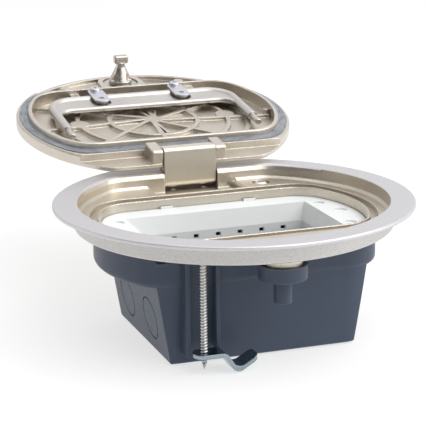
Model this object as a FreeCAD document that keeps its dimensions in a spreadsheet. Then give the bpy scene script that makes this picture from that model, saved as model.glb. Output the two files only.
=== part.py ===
import FreeCAD, Part
import math
import os
import Sketcher

# Floor socket box with a hinged, flush lid.
# Row frame: +Z up. The origin is the centre of the round floor cut-out at
# finished-floor level, which is the underside of the flange.  The hinge is at
# +Y, the lock at -Y, and the long side of the device opening runs along X.
# Rest pose: the lid lies folded back, open.

os.makedirs("parts", exist_ok=True)
doc = FreeCAD.newDocument("floor_socket_box")
V = FreeCAD.Vector

# ----------------------------------------------------------------- dimensions
sheet = doc.addObject("Spreadsheet::Sheet", "dims")
rows = [
    # ring: depths are measured down from the flange's top face
    ("toplevel", 1.7, "height of the flange's top face over the floor"),
    ("flangerad", 85.0, "outer radius of the flange"),
    ("flangethick", 1.7, "flange thickness"),
    ("collarrad", 75.0, "collar that drops into the floor cut-out"),
    ("collardepth", 11.1, "collar's lower edge below the top face"),
    ("recessrad", 73.4, "radius of the lid's recess"),
    ("recesschord", 61.6, "flat hinge-side wall of the recess"),
    ("recessfillet", 15.0, "corner between the round and the flat wall"),
    ("ledgedepth", 7.0, "ledge that the lid's gasket seals on"),
    ("cove", 1.2, "bevel between recess wall and ledge"),
    ("walltopbevel", 2.6, "bevel on top of the hinge-side wall"),
    ("grooverad", 67.6, "outer radius of the rain groove"),
    ("groovehalf", 44.3, "half width of the rain groove"),
    ("groovedepth", 10.0, "floor of the rain groove"),
    ("groovefillet", 20.0, "corner of the groove"),
    ("lipouterrad", 64.0, "lip, outside radius"),
    ("lipouterhalf", 38.8, "lip, outside half width"),
    ("lipinnerrad", 62.8, "lip, inside radius"),
    ("lipinnerhalf", 37.6, "lip, inside half width"),
    ("liptop", 7.2, "top of the lip"),
    ("lipfillet", 18.0, "corner of the lip"),
    ("skirtdepth", 16.0, "lower edge of the inner skirt"),
    ("notchhalf", 14.0, "half width of the hinge notch"),
    ("notchback", 73.0, "back wall of the hinge notch"),
    ("hingefloor", 9.95, "floor of the hinge pocket and notch"),
    ("pockethalf", 20.6, "half width of the hinge pocket"),
    ("pocketfront", 46.0, "front of the hinge pocket"),
    # hinge
    ("pinone_y", 67.17, "axis of the pin held by the ring"),
    ("pinone_z", -3.0, "the same, from the top face"),
    ("pintwo_y", 67.17, "axis of the pin held by the lid, lid open"),
    ("pintwo_z", 7.06, "the same, from the top face"),
    ("pinrad", 1.5, "hinge pin radius"),
    ("borerad", 1.56, "bore of the link"),
    ("linkhalf", 13.6, "half width of the link"),
    ("pole_y", 62.67, "pole of the lid's whole movement"),
    ("pole_z", 0.76, "the same, from the top face"),
    ("opening", 171.26, "whole opening angle of the lid"),
    # lid
    ("lidrad", 72.7, "lid outline radius"),
    ("lidchord", 60.9, "lid outline, hinge-side straight edge"),
    ("lidfillet", 14.6, "corner of the outline"),
    ("plate", 2.4, "lid plate thickness"),
    ("bodyrad", 71.9, "deep body of the lid, radius"),
    ("bodyhalf", 48.8, "deep body of the lid, half width"),
    ("bodydepth", 6.2, "deep body below the top face"),
    ("wallouterrad", 66.4, "lid's inner wall, outside radius"),
    ("wallouterhalf", 42.5, "the same, half width"),
    ("wallinnerrad", 64.5, "lid's inner wall, inside radius"),
    ("wallinnerhalf", 40.5, "the same, half width"),
    ("wallouterfillet", 20.0, "corner of the wall, outside"),
    ("wallinnerfillet", 18.5, "corner of the wall, inside"),
    ("walldepth", 9.1, "lower edge of the inner wall"),
    ("gasketrad", 71.0, "gasket, outside radius"),
    ("gaskethalf", 48.2, "gasket, outside half width"),
    ("gasketface", 6.5, "gasket's face below the top"),
    ("gasketseat", 5.2, "gasket's seat below the top"),
    ("rimdepth", 4.6, "lock-side rim and lock boss"),
    ("lugouter", 19.6, "outer end of the hinge lugs"),
    ("lugface", 60.7, "end face of the hinge lugs"),
    ("lugdepth", 9.4, "hinge lug below the top"),
    ("webdepth", 4.1, "rib web on the lid's inside, below the top"),
    ("webwide", 2.4, "rib width"),
    # lock
    ("lock_y", -62.0, "lock axis"),
    ("discrad", 8.0, "turn disc"),
    ("washerrad", 9.4, "washer"),
    ("lockwell", 9.9, "well round the washer"),
    ("conebase", 6.4, "cone, wide end radius"),
    ("conetip", 2.6, "cone, narrow end radius"),
    ("headhalf", 4.1, "half length of the T head"),
    ("headthick", 4.2, "width of the T head"),
    ("bossrad", 9.6, "boss under the ledge that the T head locks behind"),
    ("cuprad", 11.1, "cup under the boss"),
    ("stemrad", 4.1, "stem of the cup"),
    # tub
    ("tubrad", 66.4, "upper tier, outside radius"),
    ("tubhalf", 42.5, "upper tier, outside half width"),
    ("tubwall", 2.0, "tub wall"),
    ("tubtop", 12.1, "rim of the tub"),
    ("tierdepth", 28.0, "underside of the upper tier"),
    ("boxtopx", 52.4, "lower box, half length at its top"),
    ("boxtopy", 42.4, "lower box, half width at its top"),
    ("boxbotx", 44.9, "lower box, half length at its bottom"),
    ("boxboty", 38.8, "lower box, half width at its bottom"),
    ("boxdepth", 64.2, "underside of the box"),
    ("boxcorner", 20.0, "round corner of the lower box"),
    ("endcornerx", 60.6, "where that corner's side faces would meet"),
    ("knockrad", 10.2, "knockout radius"),
    ("knock_y", 17.9, "knockout centre"),
    ("knock_z", -47.5, "knockout centre"),
    # carrier
    ("carrierdepth", 11.6, "top of the device carrier"),
    ("carrierthick", 2.0, "plate of the carrier"),
    ("welltopx", 46.2, "funnel, half length at the top"),
    ("welltopy", 24.6, "funnel, half width at the top"),
    ("wellx", 43.6, "well, half length"),
    ("welly", 22.0, "well, half width"),
    ("welldepth", 20.2, "lower end of the funnel"),
    ("wellbottom", 30.0, "lower edge of the well's walls"),
    ("slotpitch", 11.25, "pitch of the fixing slots"),
    # claws
    ("claw_x", 33.9, "claw screw axis"),
    ("claw_y", 53.0, "claw screw axis"),
    ("clawhole", 1.85, "hole for the claw screw"),
    ("clawshank", 1.75, "claw screw shank radius"),
    ("clawlevel", 55.6, "claw, middle of its flat"),
    ("clawthick", 1.8, "claw strip thickness"),
    ("clawwide", 10.0, "claw strip width"),
    ("screwtip", 62.6, "tip of the claw screw"),
    # stay bow
    ("bowhalf", 50.8, "half distance between the legs"),
    ("bowbar_y", -28.9, "axis of the far bar"),
    ("bowbar_z", -6.8, "level of the bow's bars"),
    ("bowrad", 2.5, "bar radius"),
    ("bowleg_y", 15.0, "end of the thick leg"),
    ("bowpin_y", 24.8, "end of the thin pin"),
    ("bowpinrad", 1.65, "thin pin radius"),
    ("bowbend", 14.0, "bend radius of the bar's axis"),
    ("bowplate_y", -12.5, "near edge of the bow's web plate"),
    ("clip_x", 22.7, "clip centre"),
    ("clipscrew_y", -34.2, "clip screw"),
    ("clipboss_y", -20.9, "boss under the clip's free end"),
]
for n, (alias, value, note) in enumerate(rows, 1):
    sheet.set("A%d" % n, alias)
    sheet.set("B%d" % n, repr(float(value)))
    sheet.set("C%d" % n, note)
    sheet.setAlias("B%d" % n, alias)
doc.recompute()
D = {alias: float(sheet.get(alias)) for alias, _, _ in rows}


def val(expr):
    """Number of an expression made of aliases and plain arithmetic."""
    tmp = str(expr)
    for alias in sorted(D, key=len, reverse=True):
        tmp = tmp.replace("dims." + alias, "(%r)" % D[alias])
    total = FreeCAD.Units.Quantity(tmp).Value
    return total


def X(expr):
    """Alias arithmetic written short: words become references to the sheet."""
    out, word = "", ""
    for ch in str(expr) + " ":
        if ch.isalpha() or ch == "_":
            word += ch
        else:
            out += ("dims." + word) if word in D else word
            word = ""
            out += ch
    return out.strip()


def place(o, x, y, z):
    o.setExpression("Placement.Base.x", X(x))
    o.setExpression("Placement.Base.y", X(y))
    o.setExpression("Placement.Base.z", X(z))
    return o


# Solids are first built with z = 0 on the flange's top face; finish() lifts them.
def cyl(name, r, z0, z1, x="0", y="0"):
    o = doc.addObject("Part::Cylinder", name)
    o.setExpression("Radius", X(r))
    o.setExpression("Height", X("(%s) - (%s)" % (z1, z0)))
    return place(o, x, y, z0)


def xcyl(name, r, x0, x1, y, z):
    o = doc.addObject("Part::Cylinder", name)
    o.Placement = FreeCAD.Placement(V(0, 0, 0), FreeCAD.Rotation(V(0, 1, 0), 90))
    o.setExpression("Radius", X(r))
    o.setExpression("Height", X("(%s) - (%s)" % (x1, x0)))
    return place(o, x0, y, z)


def cone(name, r0, r1, z0, z1, x="0", y="0"):
    o = doc.addObject("Part::Cone", name)
    o.setExpression("Radius1", X(r0))
    o.setExpression("Radius2", X(r1))
    o.setExpression("Height", X("(%s) - (%s)" % (z1, z0)))
    return place(o, x, y, z0)


def block(name, x0, x1, y0, y1, z0, z1):
    o = doc.addObject("Part::Box", name)
    o.setExpression("Length", X("(%s) - (%s)" % (x1, x0)))
    o.setExpression("Width", X("(%s) - (%s)" % (y1, y0)))
    o.setExpression("Height", X("(%s) - (%s)" % (z1, z0)))
    return place(o, x0, y0, z0)


def torus(name, major, minor, z, x="0", y="0"):
    o = doc.addObject("Part::Torus", name)
    o.setExpression("Radius1", X(major))
    o.setExpression("Radius2", X(minor))
    return place(o, x, y, z)


def fuse(name, *shapes):
    o = doc.addObject("Part::MultiFuse", name)
    o.Shapes = list(shapes)
    o.Refine = True
    return o


def common(name, *shapes):
    o = doc.addObject("Part::MultiCommon", name)
    o.Shapes = list(shapes)
    return o


def cut(name, base, tool):
    o = doc.addObject("Part::Cut", name)
    o.Base, o.Tool = base, tool
    o.Refine = True
    return o


def edges_of(obj, test):
    doc.recompute()
    return [i for i, e in enumerate(obj.Shape.Edges, 1) if test(e)]


def is_vertical(e):
    return (e.Curve.TypeId == "Part::GeomLine"
            and abs(e.Vertexes[0].X - e.Vertexes[-1].X) < 1e-6
            and abs(e.Vertexes[0].Y - e.Vertexes[-1].Y) < 1e-6
            and e.Length > 0.05)


def fillet(name, base, radius, test):
    idx = edges_of(base, test)
    if not idx:
        raise RuntimeError("no edge to round on " + name)
    o = doc.addObject("Part::Fillet", name)
    o.Base = base
    r = val(X(radius))
    o.Edges = [(i, r, r) for i in idx]
    return o


def chamfer(name, base, size, test):
    idx = edges_of(base, test)
    if not idx:
        raise RuntimeError("no edge to bevel on " + name)
    o = doc.addObject("Part::Chamfer", name)
    o.Base = base
    r = val(X(size))
    o.Edges = [(i, r, r) for i in idx]
    return o


def track(name, r, half, z0, z1, corner):
    """Disc cut by two parallel straights, corners rounded."""
    c = common(name + "_sharp", cyl(name + "_disc", r, z0, z1),
               block(name + "_strip", "-(%s) - 1" % r, "(%s) + 1" % r,
                     "-(%s)" % half, half, z0, z1))
    h = val(X(half))
    return fillet(name, c, corner,
                  lambda e: is_vertical(e) and abs(abs(e.Vertexes[0].Y) - h) < 1e-3)


def outline(name, r, chord, z0, z1, corner):
    """Disc with one straight side at the hinge, corners rounded."""
    c = common(name + "_sharp", cyl(name + "_disc", r, z0, z1),
               block(name + "_strip", "-(%s) - 1" % r, "(%s) + 1" % r,
                     "-(%s) - 1" % r, chord, z0, z1))
    h = val(X(chord))
    return fillet(name, c, corner,
                  lambda e: is_vertical(e) and abs(e.Vertexes[0].Y - h) < 1e-3)


def sketch_on(body, role, name, pts, circles=()):
    """Closed polygon (and circles) on an origin plane; every vertex is driven
    by the sheet.  pts are pairs of alias expressions in sketch coordinates."""
    sk = body.newObject("Sketcher::SketchObject", name)
    plane = [f for f in body.Origin.OriginFeatures if f.Role == role][0]
    sk.AttachmentSupport = [(plane, "")]
    sk.MapMode = "FlatFace"
    nums = [(val(X(a)), val(X(b))) for a, b in pts]
    n = len(nums)
    for i in range(n):
        a, b = nums[i], nums[(i + 1) % n]
        sk.addGeometry(Part.LineSegment(V(a[0], a[1], 0), V(b[0], b[1], 0)), False)
    for i in range(n):
        sk.addConstraint(Sketcher.Constraint("Coincident", i, 2, (i + 1) % n, 1))
    for i, (a, b) in enumerate(pts):
        k = sk.addConstraint(Sketcher.Constraint("DistanceX", -1, 1, i, 1, nums[i][0]))
        sk.renameConstraint(k, "px%d" % i)
        sk.setExpression("Constraints.px%d" % i, X(a))
        k = sk.addConstraint(Sketcher.Constraint("DistanceY", -1, 1, i, 1, nums[i][1]))
        sk.renameConstraint(k, "py%d" % i)
        sk.setExpression("Constraints.py%d" % i, X(b))
    for j, (cx, cy, r) in enumerate(circles):
        g = sk.addGeometry(Part.Circle(V(val(X(cx)), val(X(cy)), 0), V(0, 0, 1), val(X(r))), False)
        k = sk.addConstraint(Sketcher.Constraint("Radius", g, val(X(r))))
        sk.renameConstraint(k, "rad%d" % j)
        sk.setExpression("Constraints.rad%d" % j, X(r))
        k = sk.addConstraint(Sketcher.Constraint("DistanceX", -1, 1, g, 3, val(X(cx))))
        sk.renameConstraint(k, "cx%d" % j)
        sk.setExpression("Constraints.cx%d" % j, X(cx))
        k = sk.addConstraint(Sketcher.Constraint("DistanceY", -1, 1, g, 3, val(X(cy))))
        sk.renameConstraint(k, "cy%d" % j)
        sk.setExpression("Constraints.cy%d" % j, X(cy))
    return sk


def revolved(name, pts):
    """Body turned about Z from a half section (radius, height)."""
    body = doc.addObject("PartDesign::Body", name)
    sk = sketch_on(body, "XZ_Plane", name + "_section", pts)
    rev = body.newObject("PartDesign::Revolution", name + "_turn")
    rev.Profile = sk
    rev.ReferenceAxis = (sk, ["V_Axis"])
    rev.Angle = 360.0
    doc.recompute()
    return body


def prism(name, role, pts, length, circles=()):
    """Body padded both ways from an origin plane."""
    body = doc.addObject("PartDesign::Body", name)
    sk = sketch_on(body, role, name + "_section", pts, circles)
    pad = body.newObject("PartDesign::Pad", name + "_pad")
    pad.Profile = sk
    pad.setExpression("Length", X(length))
    pad.Midplane = True
    doc.recompute()
    return body


def pd_fillet(body, name, radius, test):
    doc.recompute()
    tip = body.Tip
    names = ["Edge%d" % i for i, e in enumerate(tip.Shape.Edges, 1) if test(e)]
    if not names:
        raise RuntimeError("no edge to round on " + name)
    f = body.newObject("PartDesign::Fillet", name)
    f.Base = (tip, names)
    f.setExpression("Radius", X(radius))
    body.Tip = f
    doc.recompute()
    return body


NODES = []
LIFT = V(0, 0, D["toplevel"])
OPEN = FreeCAD.Placement(V(0, 0, 0), FreeCAD.Rotation(V(1, 0, 0), -D["opening"]),
                         V(0, D["pole_y"], D["pole_z"]))


def finish(node, obj, closed_lid=False):
    """Give a sub-part its label and its place: the flange's top is lifted to its
    height, and parts drawn on the closed lid are swung to the open pose."""
    if obj.ExpressionEngine and obj.TypeId.startswith("Part::"):
        held = doc.addObject("Part::Compound", node + "_set")
        held.Links = [obj]
        obj = held
    obj.Label = node
    p = FreeCAD.Placement(LIFT, FreeCAD.Rotation())
    if closed_lid:
        p = p.multiply(OPEN)
    obj.Placement = p.multiply(obj.Placement)
    NODES.append((node, obj))
    return obj


# ================================================================= floor ring
ring_blank = revolved("ring_blank", [
    ("0", "0"), ("flangerad - 0.5", "0"), ("flangerad", "-0.45"),
    ("flangerad", "-flangethick + 0.15"), ("flangerad - 0.3", "-flangethick"),
    ("collarrad", "-flangethick"), ("collarrad", "-collardepth + 0.5"),
    ("collarrad - 0.5", "-collardepth"), ("0", "-collardepth")])
skirt = track("skirt", "lipouterrad", "lipouterhalf", "-skirtdepth", "-10", "lipfillet + 1.2")
lock_boss = fuse("lock_boss", cyl("lock_boss_neck", "bossrad - 0.8", "-16.5", "-10.5", "0", "lock_y"),
                 cyl("lock_boss_bead", "bossrad", "-16.5", "-15.7", "0", "lock_y"))
claw_boss_a = cyl("claw_boss_front", "5", "-12.8", "-10.5", "-claw_x", "-claw_y")
claw_boss_b = cyl("claw_boss_rear", "5", "-12.8", "-10.5", "claw_x", "claw_y")
ring_solid = fuse("ring_solid", ring_blank, skirt, lock_boss, claw_boss_a, claw_boss_b)

recess_sharp = outline("recess_prism", "recessrad", "recesschord", "-ledgedepth", "2", "recessfillet")
led = D["ledgedepth"]
recess = chamfer("recess", recess_sharp, "cove",
                 lambda e: all(abs(v.Z + led) < 1e-4 for v in e.Vertexes)
                 and abs(e.CenterOfMass.z + led) < 1e-3)
groove_out = track("groove_outer", "grooverad", "groovehalf", "-groovedepth", "-liptop + 0.4", "groovefillet")
groove_core = track("groove_core", "lipouterrad", "lipouterhalf", "-groovedepth - 1", "-liptop", "lipfillet + 1.2")
groove = cut("groove", groove_out, groove_core)
opening_cut = track("opening_cut", "lipinnerrad", "lipinnerhalf", "-skirtdepth - 2", "2", "lipfillet")
hinge_pocket = prism("hinge_pocket", "XZ_Plane", [
    ("-pockethalf - 3.2", "-5.6"), ("-pockethalf", "-hingefloor"),
    ("pockethalf", "-hingefloor"), ("pockethalf + 0.2", "-hingefloor + 1.05"),
    ("pockethalf + 0.8", "-hingefloor + 1.95"), ("pockethalf + 1.7", "-hingefloor + 2.55"),
    ("pockethalf + 2.8", "-hingefloor + 2.8"), ("pockethalf + 2.8", "1"), ("-pockethalf - 3.2", "1")],
    "recesschord - pocketfront")
hinge_pocket.setExpression("Placement.Base.y", X("(recesschord + pocketfront) / 2"))
rear_pocket = cyl("rear_screw_pocket", "4.6", "-9.2", "0", "claw_x", "claw_y")
front_pocket = cyl("front_screw_pocket", "4.6", "-9.2", "0", "-claw_x", "-claw_y")
notch = block("hinge_notch", "-notchhalf", "notchhalf", "recesschord - 1", "notchback", "-hingefloor", "3")
drain_a = cyl("drain_a", "1.4", "-20", "0", "-8", "65.5")
drain_b = cyl("drain_b", "1.4", "-20", "0", "8", "65.5")
pin_hole = xcyl("ring_pin_hole", "pinrad", "-20.3", "20.3", "pinone_y", "pinone_z")
hole_a = cyl("claw_hole_front", "clawhole", "-20", "0", "-claw_x", "-claw_y")
hole_b = cyl("claw_hole_rear", "clawhole", "-20", "0", "claw_x", "claw_y")
lock_cone = cone("lock_cone", "2.9", "7.4", "-13.6", "-6.9", "0", "lock_y")
lock_slot = block("lock_slot", "-headhalf - 0.6", "headhalf + 0.6",
                  "lock_y - headthick / 2 - 1.1", "lock_y + headthick / 2 + 0.9", "-17", "-6")
lock_room = cyl("lock_room", "7.4", "-17", "-14.2", "0", "lock_y")


def swept_back(face_of):
    """The hinge-side wall's top edge leans back as the lid's edge swings over
    it: the recess outline carried backwards as it rises."""
    base = [f for f in face_of.Shape.Faces if abs(f.CenterOfMass.z + led) < 1e-6][0]
    k = D["walltopbevel"]
    low = base.copy()
    low.translate(V(0, 0, led - k))
    mid = low.copy()
    mid.translate(V(0, 0.36 * k, 0.70 * k))
    top = low.copy()
    top.translate(V(0, k, k))
    parts = [low.extrude(V(0, 0.36 * k, 0.70 * k)), mid.extrude(V(0, 0.64 * k, 0.30 * k)),
             top.extrude(V(0, 0, 1.0))]
    out = parts[0].fuse(parts[1:]).removeSplitter()
    return out.common(Part.makeBox(180, 60, 12, V(-90, 40, -9)))


doc.recompute()
wall_bevel = doc.addObject("Part::Feature", "wall_bevel")
wall_bevel.Shape = swept_back(recess_sharp)
ring_cut = fuse("ring_cutters", recess, groove, opening_cut, hinge_pocket, rear_pocket,
                front_pocket, notch, drain_a, drain_b, pin_hole, hole_a, hole_b,
                lock_cone, lock_slot, lock_room, wall_bevel)
ring_bare = cut("ring_bare", ring_solid, ring_cut)
# two lugs inside the skirt carry the screws to the tub, and the device carrier
lug_a = common("lug_right", track("lug_track_r", "lipinnerrad + 0.4", "lipinnerhalf", "-skirtdepth", "-13.6", "lipfillet"),
               block("lug_box_r", "50.4", "70", "-5", "18", "-skirtdepth", "-13.6"))
lug_b = common("lug_left", track("lug_track_l", "lipinnerrad + 0.4", "lipinnerhalf", "-skirtdepth", "-13.6", "lipfillet"),
               block("lug_box_l", "-70", "-50.4", "-18", "5", "-skirtdepth", "-13.6"))
ring_lugged = fuse("ring_lugged", ring_bare, lug_a, lug_b)
lug_holes = fuse("lug_holes",
                 cyl("lug_hole_r", "2.1", "-20", "-10", "56", "3"),
                 cyl("lug_hole_l", "2.1", "-20", "-10", "-56", "-3"),
                 cone("lug_sink_r", "2.1", "4.2", "-15.7", "-13.6", "56", "3"),
                 cone("lug_sink_l", "2.1", "4.2", "-15.7", "-13.6", "-56", "-3"),
                 cyl("earth_hole", "2.0", "-20", "-10", "-55", "-13"))
floor_ring = finish("floor_ring", cut("floor_ring", ring_lugged, lug_holes))

# ======================================================================== tub
def tub_solid(name, r, half, dx, top, floor, tier, corner, under, foot):
    """Round-ended upper tier with a rounded underside over a tapered box."""
    tier_raw = track(name + "_tier", r, half, "-(%s)" % tier, top, corner)
    zt = -val(X(tier))
    tier_round = fillet(name + "_tier_round", tier_raw, under,
                        lambda e: all(abs(v.Z - zt) < 1e-4 for v in e.Vertexes)
                        and abs(e.CenterOfMass.z - zt) < 1e-3)
    depth = "(%s) - 18" % floor

    def wedge(tag, x0, x1, y0, y1):
        w = doc.addObject("Part::Wedge", name + tag)
        for key, e in (("Xmin", "-(%s)" % x0), ("Xmax", x0), ("Zmin", "-(%s)" % y0), ("Zmax", y0),
                       ("X2min", "-(%s)" % x1), ("X2max", x1), ("Z2min", "-(%s)" % y1), ("Z2max", y1)):
            w.setExpression(key, X(e))
        w.Ymin = 0
        w.setExpression("Ymax", X(depth))
        w.Placement = FreeCAD.Placement(V(0, 0, -18), FreeCAD.Rotation(V(1, 0, 0), -90))
        return w

    zf = -val(X(floor))
    # long sides with large round corners, cut off flat and slanting at both ends
    sides = fillet(name + "_corners", wedge("_sides", "endcornerx - %s" % dx, "endcornerx - %s" % dx,
                                            "boxtopy - %s" % dx, "boxboty - %s" % dx),
                   "boxcorner - %s" % dx,
                   lambda e: e.Vertexes[0].Z * e.Vertexes[-1].Z > 0
                   and abs(e.Vertexes[0].Z - e.Vertexes[-1].Z) > 5)
    soft = common(name + "_box", sides, wedge("_ends", "boxtopx - %s" % dx, "boxbotx - %s" % dx, "80", "80"))
    if foot:
        soft = fillet(name + "_foot", soft, foot,
                      lambda e: all(abs(v.Z - zf) < 1e-3 for v in e.Vertexes)
                      and abs(e.CenterOfMass.z - zf) < 1e-2)
    return fuse(name, tier_round, soft)


tub_out = tub_solid("tub_out", "tubrad", "tubhalf", "0", "-tubtop", "boxdepth", "tierdepth", "20", "3", "1.5")
tub_in = tub_solid("tub_in", "tubrad - tubwall", "tubhalf - tubwall", "tubwall", "0",
                   "boxdepth - tubwall", "tierdepth - tubwall", "18", "2", None)
ribs = [block("rib_%d" % i, x0, x1, y0, y1, z0, "-tubtop - 0.6") for i, (x0, x1, y0, y1, z0) in enumerate([
    ("-39.9", "-37.8", "-47", "-37.5", "-58.6"), ("-25.9", "-23.9", "-47", "-37.5", "-56"),
    ("37.8", "39.9", "37.5", "47", "-58.6"), ("23.9", "25.9", "37.5", "47", "-56")])]
rib_set = fillet("rib_edges", fuse("rib_set", *ribs), "0.5",
                 lambda e: is_vertical(e) and abs(e.Vertexes[0].Y) > 46.9)
noses = [block("nose_f", "-51.4", "-47", "-43", "-38", "-16.4", "-15.2"),
         block("nose_r", "47", "51.4", "38", "43", "-16.4", "-15.2")]
tub_body = fuse("tub_body", tub_out, rib_set, *noses)
tub_shell = cut("tub_shell", tub_body, tub_in)
bosses = [cyl("tub_boss_r", "4.6", "-tierdepth + 1", "-skirtdepth", "56", "3"),
          cyl("tub_boss_l", "4.6", "-tierdepth + 1", "-skirtdepth", "-56", "-3")]
tub_bossed = fuse("tub_bossed", tub_shell, *bosses)
knocks = []
taper = math.degrees(math.atan((D["boxtopx"] - D["boxbotx"]) / (D["boxdepth"] - 18)))
zk = D["knock_z"]
xk = D["boxtopx"] - (D["boxtopx"] - D["boxbotx"]) * (-zk - 18) / (D["boxdepth"] - 18)
for sx in (-1, 1):
    for sy in (-1, 1):
        tag = "%s%s" % ("l" if sx < 0 else "r", "f" if sy < 0 else "b")
        rot = FreeCAD.Rotation(V(0, 1, 0), sx * (90 + taper))
        disc = doc.addObject("Part::Cylinder", "knock_disc_" + tag)
        disc.setExpression("Radius", X("knockrad"))
        disc.Height = 3
        core = doc.addObject("Part::Cylinder", "knock_core_" + tag)
        core.setExpression("Radius", X("knockrad - 0.8"))
        core.Height = 3
        base = V(sx * (xk - 0.55), sy * D["knock_y"], zk)
        for c in (disc, core):
            c.Placement = FreeCAD.Placement(base, rot)
        knocks.append(cut("knock_ring_" + tag, disc, core))
tub_holes = fuse("tub_holes", cyl("tub_hole_r", "1.95", "-26.4", "-10", "56", "3"),
                 cyl("tub_hole_l", "1.95", "-26.4", "-10", "-56", "-3"), *knocks)
tub = finish("tub", cut("tub", tub_bossed, tub_holes))

tub_seal = finish("tub_seal", cut("tub_seal",
    track("seal_out", "tubrad - 0.2", "tubhalf - 0.2", "-tubtop", "-collardepth", "20"),
    track("seal_in", "lipouterrad + 0.5", "lipouterhalf + 0.5", "-tubtop - 1", "-collardepth + 1", "19")))

# ============================================================ cup under lock
cup = cut("lock_cup_open",
          fuse("lock_cup_solid", cyl("cup_wall", "cuprad", "-21.6", "-14.8", "0", "lock_y"),
               cyl("cup_stem", "stemrad", "-32.5", "-21", "0", "lock_y")),
          cyl("cup_room", "bossrad", "-20.7", "-10", "0", "lock_y"))
lock_cup = finish("lock_cup", fillet("lock_cup", cup, "0.9",
    lambda e: e.Curve.TypeId == "Part::GeomCircle" and abs(e.Curve.Radius - D["cuprad"]) < 1e-3
    and abs(e.CenterOfMass.z + 21.6) < 1e-2))

# ============================================================ device carrier
plate_c = track("carrier_plate", "lipinnerrad - 0.4", "lipinnerhalf - 0.4",
                "-carrierdepth - carrierthick", "-carrierdepth", "lipfillet - 0.4")


def funnel(name, grow, z_top, z_bot):
    w = doc.addObject("Part::Wedge", name)
    w.setExpression("Xmin", X("-welltopx - %s" % grow))
    w.setExpression("Xmax", X("welltopx + %s" % grow))
    w.setExpression("Zmin", X("-welltopy - %s" % grow))
    w.setExpression("Zmax", X("welltopy + %s" % grow))
    w.setExpression("X2min", X("-wellx - %s" % grow))
    w.setExpression("X2max", X("wellx + %s" % grow))
    w.setExpression("Z2min", X("-welly - %s" % grow))
    w.setExpression("Z2max", X("welly + %s" % grow))
    w.Ymin = 0
    w.setExpression("Ymax", X("(%s) - (%s)" % (z_bot, z_top)))
    w.Placement = FreeCAD.Placement(V(0, 0, 0), FreeCAD.Rotation(V(1, 0, 0), -90))
    w.setExpression("Placement.Base.z", X("-(%s)" % z_top))
    return w


carrier_solid = fuse("carrier_solid", plate_c, funnel("funnel_out", "1.8", "carrierdepth + 0.5", "welldepth"),
                     block("well_out", "-wellx - 1.8", "wellx + 1.8", "-welly - 1.8", "welly + 1.8",
                           "-wellbottom", "-welldepth + 0.01"))
carrier_cuts = [funnel("funnel_in", "0", "carrierdepth", "welldepth"),
                block("well_in", "-wellx", "wellx", "-welly", "welly", "-wellbottom - 1", "-welldepth + 0.01")]
for i in range(-3, 4):
    carrier_cuts.append(block("slot_%d" % (i + 3), "%d * slotpitch - 1.3" % i, "%d * slotpitch + 1.3" % i,
                              "-welly - 3", "welly + 3", "-23.8", "-21.9"))
for i, (x, y) in enumerate([("51.1", "19.4"), ("51.1", "-19.4"), ("-51.1", "19.4"), ("-51.1", "-19.4"),
                            ("56", "3"), ("-56", "-3")]):
    carrier_cuts.append(cyl("dimple_%d" % i, "3.3", "-carrierdepth - 0.9", "-5", x, y))
for i, x in enumerate(("-clip_x", "clip_x")):
    carrier_cuts.append(cyl("screw_relief_%d" % i, "3.7", "-12.7", "-5", x, "clipscrew_y"))
tabs = [block("tab_%d" % i, x0, x1, y0, y1, "-carrierdepth - 0.2", "-carrierdepth + 1.1") for i, (x0, x1, y0, y1) in enumerate([
    ("-24.5", "-18.5", "lipinnerhalf - 2", "lipinnerhalf - 0.6"), ("18.5", "24.5", "lipinnerhalf - 2", "lipinnerhalf - 0.6"),
    ("-11", "-5", "-lipinnerhalf + 0.6", "-lipinnerhalf + 2"), ("5", "11", "-lipinnerhalf + 0.6", "-lipinnerhalf + 2")])]
carrier_cut = cut("carrier_cut", carrier_solid, fuse("carrier_cutters", *carrier_cuts))
device_carrier = finish("device_carrier", fuse("device_carrier", carrier_cut, *tabs))

# ================================================================== fasteners
def csk(name, x, y):
    return fuse(name, cone(name + "_head", "1.95", "4.0", "-15.65", "-13.65", x, y),
                cyl(name + "_shank", "1.9", "-25.6", "-15.6", x, y))


frame_screws = doc.addObject("Part::Compound", "frame_screws")
frame_screws.Links = [csk("frame_screw_r", "56", "3"), csk("frame_screw_l", "-56", "-3")]
finish("frame_screws", frame_screws)

earth_tag = finish("earth_tag", cut("earth_tag",
    fuse("earth_tag_solid", cyl("earth_ring", "4.4", "-16.8", "-skirtdepth", "-55", "-13"),
         block("earth_tongue", "-56.2", "-51.8", "-24", "-13", "-16.8", "-skirtdepth")),
    cyl("earth_tag_hole", "2.05", "-18", "-10", "-55", "-13")))
earth_screw = finish("earth_screw", fuse("earth_screw",
    cyl("earth_head", "3.6", "-19.2", "-16.8", "-55", "-13"),
    cyl("earth_shank", "1.95", "-17", "-14.2", "-55", "-13")))

# ================================================================== hinge link
# Side section in the open pose: straight front, back leaning by the link's
# closed slope so that it lies level with the lid when the lid is shut.
slope = "(pintwo_y + 4.78 - (pinone_y + 3.0)) / (pintwo_z - pinone_z)"
front = "63.0"
hinge_link = prism("hinge_link", "YZ_Plane", [
    (front, "-8.35"),
    ("pinone_y + 2.95 + (-8.35 - pinone_z) * %s" % slope, "-8.35"),
    ("pinone_y + 2.95 + (11.9 - pinone_z) * %s" % slope, "11.9"),
    (front + " + 0.9", "11.9"), (front, "10.5")], "2 * linkhalf",
    circles=[("pinone_y", "pinone_z", "borerad"), ("pintwo_y", "pintwo_z", "borerad")])


def along_x(e, y=None, z=None):
    if e.Curve.TypeId != "Part::GeomLine":
        return False
    a, b = e.Vertexes[0].Point, e.Vertexes[-1].Point
    if abs(a.y - b.y) > 1e-6 or abs(a.z - b.z) > 1e-6:
        return False
    return (y is None or abs(a.y - y) < 0.6) and (z is None or abs(a.z - z) < 1e-2)


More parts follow.
